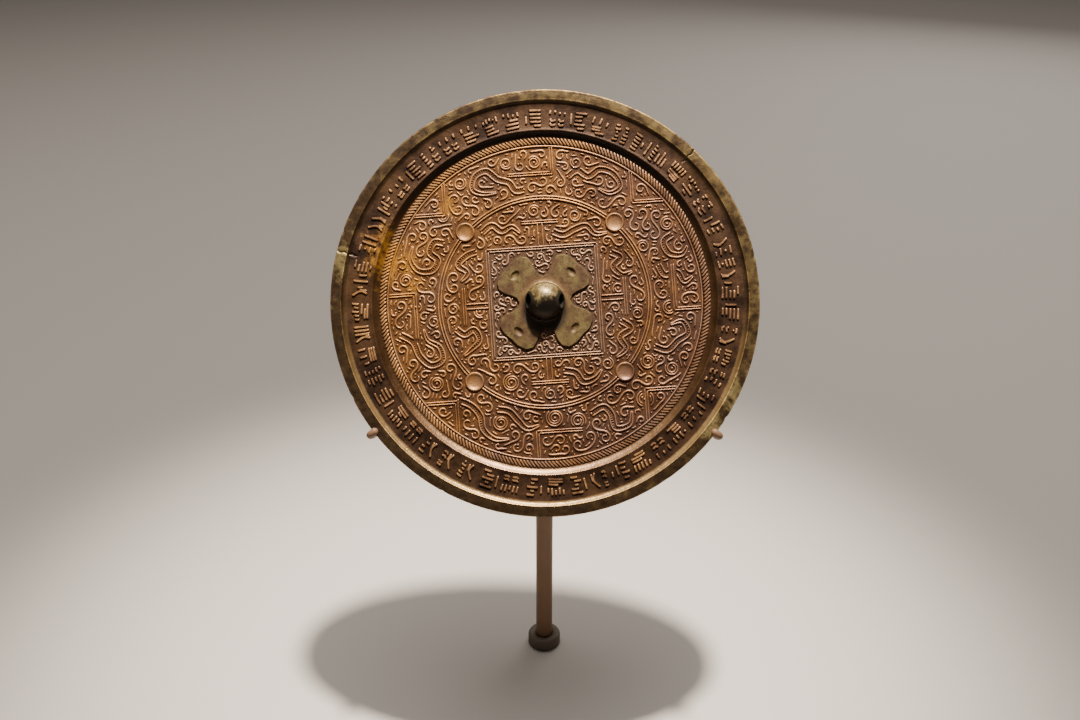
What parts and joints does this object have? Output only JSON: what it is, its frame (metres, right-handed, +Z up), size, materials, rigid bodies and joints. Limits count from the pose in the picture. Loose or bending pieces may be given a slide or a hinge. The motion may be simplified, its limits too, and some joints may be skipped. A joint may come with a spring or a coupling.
{
  "type": "ancient bronze mirror on a display rod",
  "caption": "Round cast bronze mirror, its relief side shown: raised rim, inscribed band, ring and square, leaves and pierced knob, leaning back in a cradle on a thin rod.",
  "frame": {"origin": "centre of the rod's lower end, level with the underside of its foot collar, where the stand is fixed into a deck", "axes": "+Z up along the rod; the mirror's decorated side looks towards -Y and leans back, its normal 30 degrees above level; +X to the viewer's right"},
  "size_m": [0.187, 0.0977, 0.292],
  "materials": {
    "bronze": "old cast bronze, brown to golden, with an olive patina on the rim, leaves and knob",
    "stand_paint": "matt beige paint",
    "collar_paint": "matt grey-beige paint"
  },
  "bodies": {
    "root": {"mirror": "bronze", "cradle_hub": "stand_paint", "cradle_arm_left": "stand_paint", "cradle_arm_right": "stand_paint", "cradle_arm_top": "stand_paint", "stand_rod": "stand_paint", "stand_collar": "collar_paint"}
  },
  "joints": []
}
